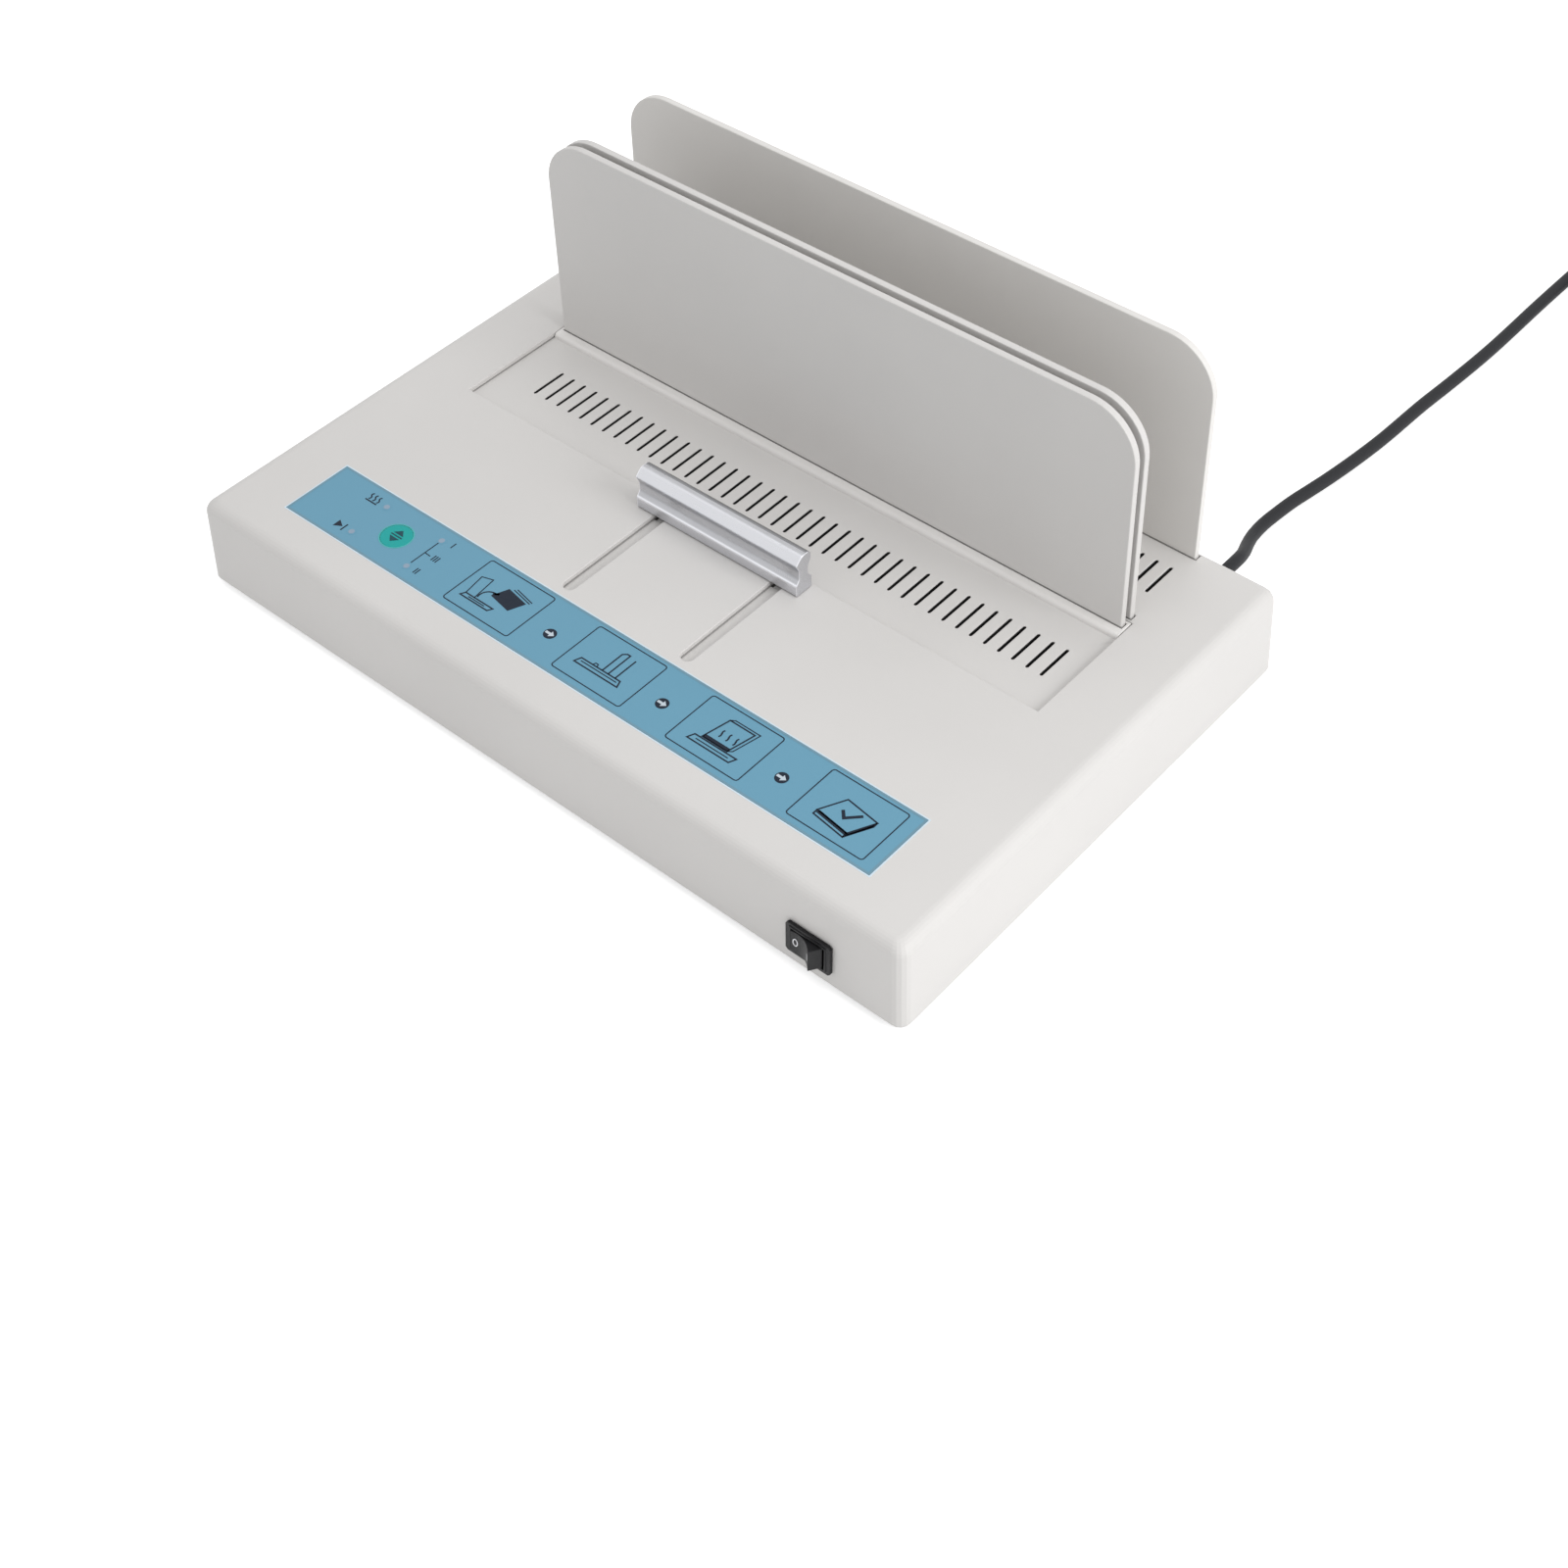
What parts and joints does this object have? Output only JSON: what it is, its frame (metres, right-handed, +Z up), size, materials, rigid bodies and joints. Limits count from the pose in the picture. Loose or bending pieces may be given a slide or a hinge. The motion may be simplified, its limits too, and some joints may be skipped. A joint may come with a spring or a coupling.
{
  "type": "thermal binding machine",
  "caption": "Desk-top thermal binder: low housing with a heated spine channel, a sliding clamp plate with a pull handle, a rear cooling rack, control film and mains switch.",
  "frame": {"origin": "on the table, under the middle of the machine's footprint without its lead", "axes": "+X to the right seen from the front, +Y to the rear, +Z up"},
  "size_m": [0.4649, 0.6635, 0.1525],
  "materials": {
    "cover_plastic": "fine moulded texture, light warm grey",
    "plate_plastic": "satin, light warm grey",
    "label_film": "printed polyester film, matt",
    "key_plastic": "satin, teal",
    "lamp_plastic": "clear moulded lens",
    "handle_aluminium": "drawn and satin anodised",
    "screw_steel": "zinc plated",
    "spring_steel": "drawn wire",
    "spacer_aluminium": "turned",
    "pan_plastic": "moulded, dark grey",
    "foot_rubber": "moulded, matt",
    "heater_aluminium": "plain sheet",
    "element_laminate": "amber film",
    "insulation_fibre": "pressed mineral fibre",
    "tray_steel": "galvanised sheet",
    "thermostat_plastic": "moulded, brown",
    "rail_plastic": "natural, moulded",
    "board_laminate": "green solder mask",
    "component_plastic": "moulded",
    "terminal_plastic": "natural, moulded",
    "switch_plastic": "black, satin",
    "lead_rubber": "smooth, black",
    "plug_plastic": "moulded, black",
    "pin_brass": "plain"
  },
  "bodies": {
    "housing": {"top_cover": "cover_plastic", "middle_plate": "plate_plastic", "rear_plate": "plate_plastic", "control_label": "label_film", "lamp_heat": "lamp_plastic", "lamp_ready": "lamp_plastic", "lamp_level_one": "lamp_plastic", "lamp_level_two": "lamp_plastic", "case_screw_front_left": "screw_steel", "case_screw_front_right": "screw_steel", "case_screw_rear_left": "screw_steel", "case_screw_rear_right": "screw_steel", "board_screw_front_left": "screw_steel", "board_screw_front_right": "screw_steel", "board_screw_rear_left": "screw_steel", "board_screw_rear_right": "screw_steel", "return_spring_left": "spring_steel", "return_spring_right": "spring_steel", "base_pan": "pan_plastic", "foot_front_left": "foot_rubber", "foot_front_right": "foot_rubber", "foot_rear_left": "foot_rubber", "foot_rear_right": "foot_rubber", "heater_plate": "heater_aluminium", "heating_element": "element_laminate", "insulation_board": "insulation_fibre", "heater_tray": "tray_steel", "thermostat": "thermostat_plastic", "guide_rail_left": "rail_plastic", "guide_rail_right": "rail_plastic", "control_board": "board_laminate", "relay": "component_plastic", "tact_switch": "component_plastic", "terminal_block": "terminal_plastic", "switch_body": "switch_plastic", "strain_relief": "lead_rubber", "power_cord": "lead_rubber", "cord_coil": "lead_rubber", "plug_body": "plug_plastic", "plug_pin_live": "pin_brass", "plug_pin_neutral": "pin_brass", "plug_pin_earth": "pin_brass"},
    "carriage": {"carriage": "cover_plastic", "front_plate": "plate_plastic", "handle_bar": "handle_aluminium", "handle_spacer_left": "spacer_aluminium", "handle_spacer_right": "spacer_aluminium", "handle_screw_left": "screw_steel", "handle_screw_right": "screw_steel"},
    "select_key": {"select_button": "key_plastic"},
    "switch_rocker": {"rocker": "switch_plastic"}
  },
  "joints": [
    {"name": "carriage_slide", "type": "slide", "parent": "housing", "child": "carriage", "axis": [0, -1, 0], "range_m": [0, 0.0533], "stiffness_N_per_m": 150, "springref_m": -0.03, "deforming": ["return_spring_left", "return_spring_right"]},
    {"name": "select_press", "type": "slide", "parent": "housing", "child": "select_key", "axis": [0, 0, -1], "range_m": [0, 0.0005], "stiffness_N_per_m": 800, "springref_m": -0.0003},
    {"name": "mains_rocker", "type": "hinge", "parent": "housing", "child": "switch_rocker", "pos_m": [0.1511, -0.11935, 0.01868], "axis": [0, 0.0332, 0.9995], "range_deg": [0, 37]}
  ]
}
